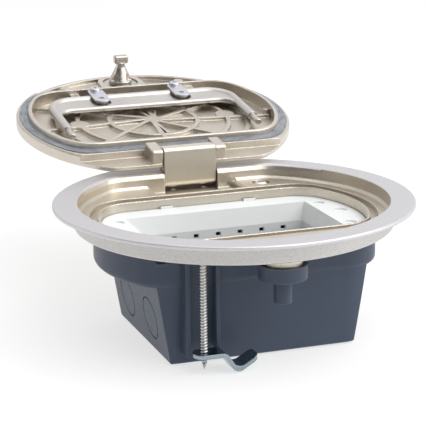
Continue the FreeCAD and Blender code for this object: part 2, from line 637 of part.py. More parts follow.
pd_fillet(hinge_link, "link_front_foot", "3.3", lambda e: along_x(e, 63.0, -8.35))
pd_fillet(hinge_link, "link_back_foot", "2.6", lambda e: along_x(e, None, -8.35) and e.Vertexes[0].Y > 68)
pd_fillet(hinge_link, "link_head_low", "0.6", lambda e: along_x(e, 63.0, 10.5))
pd_fillet(hinge_link, "link_head_high", "0.6", lambda e: along_x(e, 63.9, 11.9))
pd_fillet(hinge_link, "link_back_head", "2.2", lambda e: along_x(e, None, 11.9) and e.Vertexes[0].Y > 68)
finish("hinge_link", hinge_link)

frame_hinge_pin = finish("frame_hinge_pin", xcyl("frame_hinge_pin", "pinrad", "-20", "20", "pinone_y", "pinone_z"))
lid_hinge_pin = finish("lid_hinge_pin", xcyl("lid_hinge_pin", "pinrad", "-19.4", "19.4", "pintwo_y", "pintwo_z"))

# ========================================================================= lid
# Drawn shut (top face at z = 0), then swung open by finish().
# lid pin in the shut pose
ang = math.radians(D["opening"])
dy, dz = D["pintwo_y"] - D["pole_y"], D["pintwo_z"] - D["pole_z"]
shut_y = D["pole_y"] + dy * math.cos(ang) - dz * math.sin(ang)
shut_z = D["pole_z"] + dy * math.sin(ang) + dz * math.cos(ang)

lid_plate_sharp = outline("lid_plate", "lidrad", "lidchord", "-plate", "0", "lidfillet")
lid_plate = fillet("lid_plate_round", lid_plate_sharp, "1.3",
                   lambda e: all(abs(v.Z) < 1e-4 for v in e.Vertexes) and abs(e.CenterOfMass.z) < 1e-3)
body_sharp = common("lid_body_sharp", cyl("lid_body_disc", "lidrad", "-bodydepth", "-0.9 * plate"),
                    block("lid_body_strip", "-80", "80", "-bodyhalf", "bodyhalf", "-bodydepth", "-0.9 * plate"))
lid_body = chamfer("lid_body_round", body_sharp, "0.8",
                   lambda e: e.Curve.TypeId == "Part::GeomCircle"
                   and all(abs(v.Z + D["bodydepth"]) < 1e-4 for v in e.Vertexes))
wall_ring = track("lid_wall", "wallouterrad", "wallouterhalf", "-walldepth", "-plate", "wallouterfillet")
wall_soft = fillet("lid_wall_round", wall_ring, "0.6",
                   lambda e: all(abs(v.Z + D["walldepth"]) < 1e-4 for v in e.Vertexes)
                   and abs(e.CenterOfMass.z + D["walldepth"]) < 1e-3)
rim_band = cut("lid_rim", outline("lid_rim_out", "lidrad", "lidchord", "-rimdepth", "-0.9 * plate", "lidfillet"),
               outline("lid_rim_in", "lidrad - 2.2", "lidchord + 4", "-rimdepth - 1", "0", "4"))
rim_keep = common("lid_rim_keep", rim_band, block("lid_rim_box", "-80", "80", "-80", "-20", "-8", "0"))
boss_box = common("lock_land", fuse("lock_land_raw",
                  cyl("lock_land_round", "12.6", "-rimdepth", "-0.9 * plate", "0", "lock_y"),
                  block("lock_land_box", "-12.6", "12.6", "lock_y", "-bodyhalf + 0.5", "-rimdepth", "-0.9 * plate")),
                  cyl("lock_land_disc", "lidrad - 0.5", "-rimdepth", "-0.9 * plate"))
lug_parts = []
for s, a, b in (("l", "-lugouter", "-notchhalf"), ("r", "notchhalf", "lugouter")):
    raw = block("lug_raw_" + s, a, b, "bodyhalf - 1", "lugface", "-lugdepth", "-0.9 * plate")
    head = fillet("lug_head_" + s, raw, "1.8", lambda e: abs(e.CenterOfMass.y - D["lugface"]) < 1e-3
                  and abs(e.CenterOfMass.z + D["lugdepth"]) < 1e-3)
    end = D["lugouter"] * (-1 if s == "l" else 1)
    lug_parts.append(fillet("lug_" + s, head, "0.9", lambda e: abs(e.CenterOfMass.x - end) < 1e-3
                            and (abs(e.CenterOfMass.z + D["lugdepth"]) < 0.9 or abs(e.CenterOfMass.y - D["lugface"]) < 0.9)))
side_posts = [cyl("seg_post_l", "2.6", "-rimdepth", "-0.9 * plate", "-33", "-57.5"),
              cyl("seg_post_r", "2.6", "-rimdepth", "-0.9 * plate", "33", "-57.5")]
lid_solid = fuse("lid_solid", lid_plate, lid_body, wall_soft, rim_keep, boss_box, *(lug_parts + side_posts))
cavity = track("lid_cavity", "wallinnerrad", "wallinnerhalf", "-walldepth - 1", "-plate", "wallinnerfillet")
seat = cut("gasket_seat_cut",
           track("seat_out", "gasketrad", "gaskethalf", "-bodydepth - 2", "-gasketseat", "20"),
           track("seat_in", "wallouterrad", "wallouterhalf", "-20", "0", "wallouterfillet"))
lid_notch = block("lid_notch", "-notchhalf", "notchhalf", "50.9", "70", "-9", "3")
lid_pin_hole = xcyl("lid_pin_hole", "pinrad", "-19.4", "19.4", "%r" % shut_y, "%r" % shut_z)
disc_seat = cyl("disc_seat", "discrad + 0.25", "-1.3", "2", "0", "lock_y")
o_ring_room = cyl("o_ring_room", "5.3", "-plate - 2", "0", "0", "lock_y")
washer_well = cyl("washer_well", "lockwell", "-rimdepth - 1", "-2.9", "0", "lock_y")
lid_cut = cut("lid_cut", lid_solid, fuse("lid_cutters", cavity, seat, lid_notch, lid_pin_hole, disc_seat,
                                         o_ring_room, washer_well))
# rib web under the plate: hub, three rings, spokes, two pads
rib_top, rib_bot = "-plate + 0.2", "-webdepth"
web = [cyl("hub", "4.6", rib_bot, rib_top)]
for i, r in enumerate(("23.6", "40.4", "51")):
    web.append(cut("web_ring_%d" % i, cyl("web_out_%d" % i, r + " + webwide / 2", rib_bot, rib_top),
                   cyl("web_in_%d" % i, r + " - webwide / 2", "-webdepth - 3", "0")))
for k, (deg, far) in enumerate([(-90, "24"), (-30, "64"), (5, "64"), (45, "64"), (92, "64"),
                                (139, "64"), (175, "64"), (-152, "64")]):
    b = block("spoke_%d" % k, "0", far, "0", "webwide", rib_bot, rib_top)
    rot = FreeCAD.Rotation(V(0, 0, 1), deg)
    b.Placement = FreeCAD.Placement(rot.multVec(V(0, -D["webwide"] / 2, 0)), rot)
    b.setExpression("Placement.Base.z", X(rib_bot))
    web.append(b)
for i, (x, y) in enumerate([("-40.4", "-0.5"), ("40.4", "0.5")]):
    web.append(cyl("web_pad_%d" % i, "5.2", rib_bot, rib_top, x, y))
for i, sgn in enumerate((-1, 1)):
    web.append(cyl("wall_post_%d" % i, "1.6", "-webdepth - 2.2", rib_top, "%r" % (62.6 * sgn), "4.5"))
    for j, (deg, far) in enumerate([(-108, "18"), (96, "21")]):
        b = block("wall_rib_%d_%d" % (i, j), "0", far, "0", "1.4", rib_bot, rib_top)
        turn = deg if sgn > 0 else 180 - deg
        rot = FreeCAD.Rotation(V(0, 0, 1), turn)
        b.Placement = FreeCAD.Placement(V(62.6 * sgn, 4.5, 0) + rot.multVec(V(0, -0.7, 0)), rot)
        b.setExpression("Placement.Base.z", X(rib_bot))
        web.append(b)
web_all = common("lid_web", fuse("web_raw", *web),
                 track("web_limit", "wallinnerrad + 0.4", "wallinnerhalf + 0.4", "-20", "5", "wallinnerfillet"))
posts = []
for s, cx, tx in (("l", "-clip_x", -32.8), ("r", "clip_x", 32.8)):
    posts.append(cyl("clip_post_" + s, "2.5", "-9.4", "-2.2", cx, "clipscrew_y"))
    posts.append(cyl("clip_boss_" + s, "3.3", "-9.4", "-2.2", cx, "clipboss_y"))
    posts.append(block("bow_stop_" + s, "%r - 2.5" % tx, "%r + 2.5" % tx, "-41", "-37.2", "-6.7", "-2.2"))
    posts.append(block("bow_stop_stem_" + s, "%r - 1.4" % tx, "%r + 1.4" % tx, "-37.4", "-32.6", "-6.7", "-2.2"))
post_holes = [cyl("clip_hole_" + s, "1.4", "-12", "-3.4", cx, "clipscrew_y") for s, cx in (("l", "-clip_x"), ("r", "clip_x"))]
lid_web_cut = cut("lid_webbed", fuse("lid_with_web", lid_cut, web_all, *posts), fuse("lid_post_holes", *post_holes))
lid = finish("lid", lid_web_cut, True)

lid_gasket = finish("lid_gasket", cut("lid_gasket",
    track("gasket_out", "gasketrad", "gaskethalf", "-gasketface", "-gasketseat", "20"),
    track("gasket_in", "wallouterrad", "wallouterhalf", "-20", "0", "wallouterfillet")), True)

# ======================================================================== lock
disc_solid = fuse("lock_disc_solid", cyl("disc_plate", "discrad", "-1.25", "-0.05", "0", "lock_y"),
                  cyl("disc_shaft", "3.5", "-4.2", "-1", "0", "lock_y"))
lock_disc = finish("lock_disc", cut("lock_disc", disc_solid,
    block("coin_slot", "-6", "6", "lock_y - 0.9", "lock_y + 0.9", "-0.85", "1")), True)
lock_o_ring = finish("lock_o_ring", torus("lock_o_ring", "4.4", "0.8", "-2.05", "0", "lock_y"), True)
lock_washer = finish("lock_washer", cut("lock_washer",
    cyl("washer_plate", "washerrad", "-3.8", "-2.9", "0", "lock_y"),
    cyl("washer_hole", "3.6", "-5", "0", "0", "lock_y")), True)
flutes = []
for k in range(4):
    f = cyl("flute_%d" % k, "3.2", "-13.5", "-6.2", "0", "lock_y")
    a = math.radians(45 + 90 * k)
    f.setExpression("Placement.Base.x", X("%r" % (7.3 * math.cos(a))))
    f.setExpression("Placement.Base.y", X("lock_y + %r" % (7.3 * math.sin(a))))
    flutes.append(f)
cone_body = cut("lock_cone_fluted", fuse("lock_cone_raw",
    cyl("cone_foot", "conebase", "-5.8", "-4.2", "0", "lock_y"),
    cone("cone_taper", "conetip", "conebase", "-13.9", "-5.8", "0", "lock_y")), fuse("lock_flutes", *flutes))
head_sharp = block("t_head_sharp", "-headhalf", "headhalf", "lock_y - headthick / 2", "lock_y + headthick / 2", "-20.2", "-15.6")
t_head = fillet("t_head", head_sharp, "1.2", lambda e: True)
lock_bolt = finish("lock_bolt", fuse("lock_bolt", cone_body,
    cyl("lock_neck", "conetip", "-16.3", "-13.4", "0", "lock_y"), t_head), True)

# ==================================================================== stay bow
# Drawn on the shut lid: the U bar's far side runs along X under the clips, its
# legs point to the hinge and end in thinner pins.
def bow_shape():
    h, b, y0, z = D["bowhalf"], D["bowbend"], D["bowbar_y"], D["bowbar_z"]
    y1, y2, r, rp = D["bowleg_y"], D["bowpin_y"], D["bowrad"], D["bowpinrad"]
    q = b * (1 - math.sqrt(0.5))
    path = Part.Wire([
        Part.LineSegment(V(-h, y1, z), V(-h, y0 + b, z)).toShape(),
        Part.Arc(V(-h, y0 + b, z), V(-h + q, y0 + q, z), V(-h + b, y0, z)).toShape(),
        Part.LineSegment(V(-h + b, y0, z), V(h - b, y0, z)).toShape(),
        Part.Arc(V(h - b, y0, z), V(h - q, y0 + q, z), V(h, y0 + b, z)).toShape(),
        Part.LineSegment(V(h, y0 + b, z), V(h, y1, z)).toShape()])
    ring = Part.Wire(Part.Circle(V(-h, y1, z), V(0, 1, 0), r).toShape())
    bar = path.makePipeShell([ring], True, True)
    pins = [Part.makeCylinder(rp, y2 - y1 + 1, V(s * h, y1 - 1, z), V(0, 1, 0)) for s in (-1, 1)]
    tips = [p.makeChamfer(0.4, [e for e in p.Edges if e.Curve.TypeId == "Part::GeomCircle"
                                and abs(e.CenterOfMass.y - y2) < 1e-3]) for p in pins]
    # web plate between the far bar and the legs, its free edge a round bead
    # that runs into the legs, with a round-ended notch for each clip
    edge, bead, turn = D["bowplate_y"], 1.5, 9.5
    face = Part.makeBox(2 * h - 2.0, edge + 9 - y0, 2.4, V(-h + 1.0, y0, z - 1.2))
    corner = [e for e in face.Edges if is_vertical(e) and abs(e.Vertexes[0].Y - y0) < 1e-6]
    face = face.makeFillet(b - 1.0, corner)
    window = Part.makeBox(2 * h - 4.0, 40, 6, V(-h + 2.0, edge - 0.7, z - 3))
    near = [e for e in window.Edges if is_vertical(e) and abs(e.Vertexes[0].Y - edge + 0.7) < 1e-6]
    face = face.cut(window.makeFillet(turn - 0.8, near))
    ex, ey = h - 0.7, edge - bead
    u = turn * (1 - math.sqrt(0.5))
    rim_path = Part.Wire([
        Part.LineSegment(V(-ex, edge + 9, z), V(-ex, ey + turn, z)).toShape(),
        Part.Arc(V(-ex, ey + turn, z), V(-ex + u, ey + u, z), V(-ex + turn, ey, z)).toShape(),
        Part.LineSegment(V(-ex + turn, ey, z), V(ex - turn, ey, z)).toShape(),
        Part.Arc(V(ex - turn, ey, z), V(ex - u, ey + u, z), V(ex, ey + turn, z)).toShape(),
        Part.LineSegment(V(ex, ey + turn, z), V(ex, edge + 9, z)).toShape()])
    rim_ring = Part.Wire(Part.Circle(V(-ex, edge + 9, z), V(0, 1, 0), bead).toShape())
    rim = rim_path.makePipeShell([rim_ring], True, True)
    notches = []
    for s in (-1, 1):
        cx = s * D["clip_x"]
        notches.append(Part.makeBox(10.2, 8.6, 8, V(cx - 5.1, y0 + 0.0, z - 4)).fuse(
            Part.makeCylinder(5.1, 8, V(cx, -20.6, z - 4))))
    web_plate = face.fuse(rim)
    for n in notches:
        web_plate = web_plate.cut(n)
    face = web_plate
    out = bar
    for piece in tips + [face]:
        out = out.fuse(piece)
    return out.removeSplitter()


stay = doc.addObject("Part::Feature", "stay_bow")
stay.Shape = bow_shape()
finish("stay_bow", stay, True)

clips = []
for s, cx in (("l", "-clip_x"), ("r", "clip_x")):
    bar_c = block("clip_bar_" + s, "%s - 4.25" % cx, "%s + 4.25" % cx, "-37.15", "-16.35", "-10.3", "-9.4")
    round_c = fillet("clip_round_" + s, bar_c, "4.2", is_vertical)
    soft_c = fillet("clip_soft_" + s, round_c, "0.25", lambda e: all(abs(v.Z + 10.3) < 1e-4 for v in e.Vertexes)
                    and abs(e.CenterOfMass.z + 10.3) < 1e-3)
    holes = fuse("clip_holes_" + s, cyl("clip_hole_a_" + s, "1.75", "-12", "-5", cx, "clipscrew_y"),
                 cyl("clip_hole_b_" + s, "1.5", "-12", "-5", cx, "-21.7"))
    clips.append(cut("bow_clip_%s_cut" % s, soft_c, holes))
finish("bow_clip_left", clips[0], True)
finish("bow_clip_right", clips[1], True)
clip_screws = doc.addObject("Part::Compound", "clip_screws")
screws = []
for s, cx in (("l", "-clip_x"), ("r", "clip_x")):
    head = fillet("clip_head_" + s, cyl("clip_head_raw_" + s, "2.9", "-12.0", "-10.3", cx, "clipscrew_y"), "1.0",
                  lambda e: abs(e.CenterOfMass.z + 12.0) < 1e-3)
    screws.append(cut("clip_screw_" + s, fuse("clip_screw_raw_" + s, head,
                      cyl("clip_shank_" + s, "1.4", "-10.6", "-3.6", cx, "clipscrew_y")),
                      fuse("clip_recess_" + s,
                           block("clip_slot_a_" + s, "%s - 1.7" % cx, "%s + 1.7" % cx, "clipscrew_y - 0.3", "clipscrew_y + 0.3", "-13", "-11.2"),
                           block("clip_slot_b_" + s, "%s - 0.3" % cx, "%s + 0.3" % cx, "clipscrew_y - 1.7", "clipscrew_y + 1.7", "-13", "-11.2"))))
clip_screws.Links = screws
finish("clip_screws", clip_screws, True)

# ======================================================================= claws
def claw_profile(t):
    """Bent strip: flat, S bend down, tip turned up; mitred offset of a centre line."""
    line = [(-5.2, 0.0), (8.6, 0.0), (13.9, -8.4), (25.6, -1.6)]
    n = []
    for (ax, ay), (bx, by) in zip(line, line[1:]):
        length = math.hypot(bx - ax, by - ay)
        n.append((-(by - ay) / length, (bx - ax) / length))
    up, down = [], []
    for i, (px, py) in enumerate(line):
        if i == 0:
            m, k = n[0], 1.0
        elif i == len(line) - 1:
            m, k = n[-1], 1.0
        else:
            sx, sy = n[i - 1][0] + n[i][0], n[i - 1][1] + n[i][1]
            length = math.hypot(sx, sy)
            m = (sx / length, sy / length)
            k = 1.0 / (m[0] * n[i][0] + m[1] * n[i][1])
        up.append((px + m[0] * k * t / 2, py + m[1] * k * t / 2))
        down.append((px - m[0] * k * t / 2, py - m[1] * k * t / 2))
    return up + down[::-1]


def claw(name, sign):
    pts = claw_profile(D["clawthick"])
    strip = prism(name + "_strip", "XZ_Plane", [("%r" % a, "%r" % b) for a, b in pts], "clawwide")

    def bend(e):
        if e.Curve.TypeId != "Part::GeomLine":
            return False
        a, b = e.Vertexes[0].Point, e.Vertexes[-1].Point
        return abs(a.y - b.y) > 5 and 3 < a.x < 20
    pd_fillet(strip, name + "_bends", "3.8", bend)
    shape = common(name + "_ends", strip, fuse(name + "_plan",
        cyl(name + "_round", "5.2", "-12", "5"),
        fillet(name + "_tip", block(name + "_box", "0", "30", "-5", "5", "-12", "5"), "3",
               lambda e: is_vertical(e) and e.Vertexes[0].X > 29)))
    shape = common(name + "_trim", shape, fillet(name + "_end", block(name + "_endbox", "-6", "24", "-5.1", "5.1", "-12", "5"),
                   "2.6", lambda e: is_vertical(e) and e.Vertexes[0].X > 20))
    out = cut(name, shape, cyl(name + "_hole", "clawshank + 0.08", "-12", "5"))
    out.Placement = FreeCAD.Placement(
        V(-sign * D["claw_x"], -sign * D["claw_y"], -D["clawlevel"]),
        FreeCAD.Rotation(V(0, 0, 1), 0 if sign > 0 else 180))
    return finish(name, out)


def claw_screw(name, sx, sy):
    x, y = "%s claw_x" % sx, "%s claw_y" % sy
    head = fillet(name + "_head_round", cyl(name + "_head", "3.5", "-8.6", "-6.6", x, y), "1.2",
                  lambda e: abs(e.CenterOfMass.z + 6.6) < 1e-3)
    raw = fuse(name + "_raw", head, cyl(name + "_shank", "clawshank", "-60.2", "-8.5", x, y),
               cone(name + "_tip", "0.25", "clawshank", "-screwtip", "-60.2", x, y))
    cross = fuse(name + "_cross",
                 block(name + "_cross_a", x + " - 2", x + " + 2", y + " - 0.35", y + " + 0.35", "-7.5", "-5"),
                 block(name + "_cross_b", x + " - 0.35", x + " + 0.35", y + " - 2", y + " + 2", "-7.5", "-5"))
    return finish(name, cut(name, raw, cross))


claw_screw("front_claw_screw", "-", "-")
claw_screw("rear_claw_screw", "", "")
claw("front_claw", 1)
claw("rear_claw", -1)
seals = doc.addObject("Part::Compound", "claw_screw_seals")
seals.Links = [cut("screw_seal_" + t, cyl("screw_seal_out_" + t, "3.3", "-9.2", "-8.65", x, y),
                   cyl("screw_seal_in_" + t, "1.9", "-12", "-5", x, y))
               for t, x, y in (("f", "-claw_x", "-claw_y"), ("b", "claw_x", "claw_y"))]
finish("claw_screw_seals", seals)

# ================================================================ check, write
doc.recompute()
bad = [o.Name for o in doc.Objects if any(k in o.State for k in ("Invalid", "Error"))]
if bad:
    raise RuntimeError("objects failed: %s" % bad)
names = [n for n, _ in NODES]
if len(set(names)) != len(names):
    raise RuntimeError("a node is named twice")
for node, obj in NODES:
    s = obj.Shape
    if s.isNull() or not s.isValid() or not s.Solids:
        raise RuntimeError("bad shape: " + node)
for node, obj in NODES:
    s = obj.Shape
    s.exportStep(os.path.join("parts", node + ".step"))
    b = s.BoundBox
    print("%-18s solids %d  volume %9.1f  x %.1f..%.1f  y %.1f..%.1f  z %.1f..%.1f" % (
        node, len(s.Solids), s.Volume, b.XMin, b.XMax, b.YMin, b.YMax, b.ZMin, b.ZMax))
print("nodes:", len(NODES))
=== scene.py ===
import bpy
import bmesh
import math
from mathutils import Matrix, Vector


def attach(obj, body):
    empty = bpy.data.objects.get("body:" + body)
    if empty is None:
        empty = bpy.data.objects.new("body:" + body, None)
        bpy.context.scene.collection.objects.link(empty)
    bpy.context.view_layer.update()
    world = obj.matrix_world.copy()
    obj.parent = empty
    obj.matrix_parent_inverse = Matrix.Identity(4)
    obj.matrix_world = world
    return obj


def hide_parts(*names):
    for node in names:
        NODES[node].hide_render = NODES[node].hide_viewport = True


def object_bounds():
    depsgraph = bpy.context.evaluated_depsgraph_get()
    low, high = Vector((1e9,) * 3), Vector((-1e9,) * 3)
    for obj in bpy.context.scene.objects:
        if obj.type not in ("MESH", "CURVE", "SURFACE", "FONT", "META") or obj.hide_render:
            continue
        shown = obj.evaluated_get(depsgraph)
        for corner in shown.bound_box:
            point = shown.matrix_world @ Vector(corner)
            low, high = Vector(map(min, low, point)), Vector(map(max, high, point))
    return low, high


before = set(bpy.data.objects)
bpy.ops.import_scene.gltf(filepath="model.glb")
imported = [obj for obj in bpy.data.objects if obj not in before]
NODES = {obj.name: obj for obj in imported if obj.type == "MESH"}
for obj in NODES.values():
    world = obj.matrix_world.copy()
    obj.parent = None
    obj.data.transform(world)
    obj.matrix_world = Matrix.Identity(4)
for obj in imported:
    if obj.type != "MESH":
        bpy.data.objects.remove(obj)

CAD_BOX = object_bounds()
MM = 0.001

# ------------------------------------------------------------------ materials


class Graph:
    """Small helper to write shader graphs in a few lines."""

    def __init__(self, name):
        self.mat = bpy.data.materials.new(name)
        self.mat.use_nodes = True
        self.nt = self.mat.node_tree
        self.nt.nodes.clear()
        self.out = self.nt.nodes.new("ShaderNodeOutputMaterial")
        self.bsdf = self.nt.nodes.new("ShaderNodeBsdfPrincipled")
        self.nt.links.new(self.bsdf.outputs[0], self.out.inputs[0])
        self.coord = self.nt.nodes.new("ShaderNodeTexCoord")
        self.pos = self.coord.outputs["Object"]

    def link(self, a, b):
        self.nt.links.new(a, b)

    def put(self, value, socket):
        if hasattr(value, "is_linked") or hasattr(value, "links"):
            self.link(value, socket)
        else:
            socket.default_value = value

    def math(self, op, a, b=0.0, c=0.0, clamp=False):
        n = self.nt.nodes.new("ShaderNodeMath")
        n.operation = op
        n.use_clamp = clamp
        self.put(a, n.inputs[0])
        self.put(b, n.inputs[1])
        if op in ("MULTIPLY_ADD", "SMOOTH_MIN", "SMOOTH_MAX", "COMPARE", "WRAP"):
            self.put(c, n.inputs[2])
        return n.outputs[0]

    def vmath(self, op, a, b=(0, 0, 0)):
        n = self.nt.nodes.new("ShaderNodeVectorMath")
        n.operation = op
        self.put(a, n.inputs[0])
        if op != "LENGTH" and op != "NORMALIZE":
            self.put(b, n.inputs[1])
        return n.outputs["Value" if op in ("LENGTH", "DOT_PRODUCT") else "Vector"]

    def stretch(self, scale):
        n = self.nt.nodes.new("ShaderNodeMapping")
        n.inputs["Scale"].default_value = scale
        self.link(self.pos, n.inputs["Vector"])
        return n.outputs[0]

    def noise(self, scale, detail=2.0, rough=0.5, vector=None, distortion=0.0):
        n = self.nt.nodes.new("ShaderNodeTexNoise")
        n.inputs["Scale"].default_value = scale
        n.inputs["Detail"].default_value = detail
        n.inputs["Roughness"].default_value = rough
        n.inputs["Distortion"].default_value = distortion
        self.link(vector or self.pos, n.inputs["Vector"])
        return n.outputs["Fac"]

    def voronoi(self, scale, out="Distance"):
        n = self.nt.nodes.new("ShaderNodeTexVoronoi")
        n.inputs["Scale"].default_value = scale
        self.link(self.pos, n.inputs["Vector"])
        return n.outputs[out]

    def remap(self, v, a, b, c=0.0, d=1.0, smooth=False):
        n = self.nt.nodes.new("ShaderNodeMapRange")
        n.interpolation_type = "SMOOTHSTEP" if smooth else "LINEAR"
        n.clamp = True
        self.put(v, n.inputs["Value"])
        for k, x in zip(("From Min", "From Max", "To Min", "To Max"), (a, b, c, d)):
            n.inputs[k].default_value = x
        return n.outputs["Result"]

    def mix(self, fac, a, b, mode="MIX"):
        n = self.nt.nodes.new("ShaderNodeMix")
        n.data_type = "RGBA"
        n.blend_type = mode
        n.clamp_factor = True
        self.put(fac, n.inputs[0])
        self.put(a, n.inputs[6])
        self.put(b, n.inputs[7])
        return n.outputs[2]

    def edge(self, radius, samples=6):
        """0 on flats, rising to 1 on outward and inward edges."""
        b = self.nt.nodes.new("ShaderNodeBevel")
        b.samples = samples
        b.inputs["Radius"].default_value = radius
        g = self.nt.nodes.new("ShaderNodeNewGeometry")
        d = self.vmath("DOT_PRODUCT", b.outputs[0], g.outputs["Normal"])
        return self.math("SUBTRACT", 1.0, d, clamp=True), b.outputs[0]

    def bump(self, height, strength, distance, normal=None):
        n = self.nt.nodes.new("ShaderNodeBump")
        n.inputs["Strength"].default_value = strength
        n.inputs["Distance"].default_value = distance
        self.link(height, n.inputs["Height"])
        if normal is not None:
            self.link(normal, n.inputs["Normal"])
        return n.outputs[0]

    def axes(self):
        n = self.nt.nodes.new("ShaderNodeSeparateXYZ")
        self.link(self.pos, n.inputs[0])
        return n.outputs[0], n.outputs[1], n.outputs[2]


def rgb(r, g, b):
    def lin(c):
        c /= 255.0
        return c / 12.92 if c <= 0.04045 else ((c + 0.055) / 1.055) ** 2.4
    return (lin(r), lin(g), lin(b), 1.0)


def cast_metal(name, tone, dark, bright, rough=0.33, grain_amt=0.45, edge=0.0006, glint=1.0, ring=False, sand=0.34):
    """Die casting with a satin plate: fine blasted grain, soft mottling, edges painted near-white as rubbed wear and
    as a painted highlight.
    """
    g = Graph(name)
    cloud = g.noise(34.0, 3.0)
    grain = g.noise(1700.0, 2.0, 0.6)
    edge_raw, soft = g.edge(edge)
    rub = g.noise(950.0, 3.0, 0.7)
    line = g.remap(edge_raw, 0.012, 0.11)
    worn_edge_and_highlight = g.math("MULTIPLY", line, g.remap(rub, 0.36, 0.62, 0.15, 1.0))
    col = g.mix(g.remap(cloud, 0.32, 0.68), dark, tone)
    col = g.mix(g.remap(grain, 0.35, 0.68, 0.0, grain_amt), col, bright)
    if ring:
        # the flange's top face and the collar carry a lacquer, cooler on the top face; the collar's side below it gets
        # a darker, warmer copy as painted shade
        x, y, z = g.axes()
        radius = g.math("SQRT", g.math("ADD", g.math("MULTIPLY", x, x), g.math("MULTIPLY", y, y)))
        on_top = g.remap(z, 0.00125, 0.00155)
        outside = g.remap(radius, 0.0738, 0.0742)
        lacquer = g.math("MAXIMUM", on_top, outside)
        cool = g.mix(g.remap(grain, 0.3, 0.7), RING_TOP[0], RING_TOP[1])
        side_shaded = g.mix(g.remap(grain, 0.3, 0.7), RING_SIDE_SHADED[0], RING_SIDE_SHADED[1])
        cool = g.mix(g.remap(z, -0.0010, 0.0004), side_shaded, cool)
        col = g.mix(lacquer, col, cool)
    # edges painted near-white: partly rubbed wear, partly a painted highlight
    col = g.mix(g.math("MULTIPLY", worn_edge_and_highlight, glint), col, (0.95, 0.93, 0.89, 1.0))
    g.link(col, g.bsdf.inputs["Base Color"])
    g.bsdf.inputs["Metallic"].default_value = 1.0
    ro = g.math("ADD", g.remap(grain, 0.3, 0.7, rough - 0.05, rough + 0.07),
                g.math("MULTIPLY", worn_edge_and_highlight, -0.16), clamp=True)
    if ring:
        ro = g.math("ADD", ro, g.math("MULTIPLY", lacquer, 0.14), clamp=True)
    g.link(ro, g.bsdf.inputs["Roughness"])
    height = g.math("ADD", grain, g.math("MULTIPLY", g.noise(3200.0, 1.0), 0.5))
    height = g.math("ADD", height, g.math("MULTIPLY", g.math("MULTIPLY", rub, line), 1.6))
    height = g.math("ADD", height, g.math("MULTIPLY", g.noise(780.0, 2.0, 0.7), 1.2))
    b = g.bump(height, sand, 0.0003, soft)
    if ring:
        # the lacquered faces are much smoother than the blasted recess
        g.link(g.remap(lacquer, 0.0, 1.0, sand, 0.04), b.node.inputs["Strength"])
    g.link(b, g.bsdf.inputs["Normal"])
    return g.mat


def bright_metal(name, tone, rough, streak=(1, 1, 1), edge=0.00025, tint=(0.6, 0.63, 0.68, 1), streak_and_edge_highlight=(0.93, 0.93, 0.94, 1)):
    g = Graph(name)
    lines = g.noise(900.0, 3.0, 0.6, g.stretch(streak))
    cloud = g.noise(160.0, 3.0)
    e, soft = g.edge(edge)
    col = g.mix(g.remap(cloud, 0.35, 0.7), tone, tint)
    # brushing streaks and edges both move toward the pale colour; on the edges it is a painted highlight
    col = g.mix(g.remap(lines, 0.35, 0.75, 0.0, 0.25), col, streak_and_edge_highlight)
    col = g.mix(g.remap(e, 0.02, 0.2, 0.0, 0.7), col, streak_and_edge_highlight)
    g.link(col, g.bsdf.inputs["Base Color"])
    g.bsdf.inputs["Metallic"].default_value = 1.0
    g.link(g.remap(lines, 0.3, 0.7, rough - 0.05, rough + 0.09), g.bsdf.inputs["Roughness"])
    g.link(g.bump(lines, 0.10, 0.00008, soft), g.bsdf.inputs["Normal"])
    return g.mat


def thread_steel(name, x0, y0):
    """Plated screw: thread crests painted bright as a highlight, roots painted dark as shade, the head in the bright
    colour.
    """
    g = Graph(name)
    x, y, z = g.axes()
    dx = g.math("SUBTRACT", x, x0)
    dy = g.math("SUBTRACT", y, y0)
    radius = g.math("SQRT", g.math("ADD", g.math("MULTIPLY", dx, dx), g.math("MULTIPLY", dy, dy)))
    crest = g.remap(radius, 0.00130, 0.00166, smooth=True)
    shank = g.remap(z, -0.0069, -0.0071)
    root_shade_mottle = g.noise(500.0, 3.0, 0.6)
    fine = g.noise(2400.0, 2.0, 0.6)
    # painted shade in the thread roots and painted highlight on the crests; the head takes the bright colour
    low = g.mix(g.remap(root_shade_mottle, 0.35, 0.65), (0.30, 0.30, 0.30, 1), (0.42, 0.415, 0.405, 1))
    high = g.mix(g.remap(fine, 0.35, 0.7), (0.78, 0.775, 0.765, 1), (0.90, 0.895, 0.885, 1))
    col = g.mix(g.math("MAXIMUM", crest, g.math("SUBTRACT", 1.0, shank)), low, high)
    g.link(col, g.bsdf.inputs["Base Color"])
    g.bsdf.inputs["Metallic"].default_value = 1.0
    g.link(g.remap(fine, 0.3, 0.7, 0.26, 0.40), g.bsdf.inputs["Roughness"])
    g.link(g.bump(fine, 0.08, 0.00006), g.bsdf.inputs["Normal"])
    return g.mat


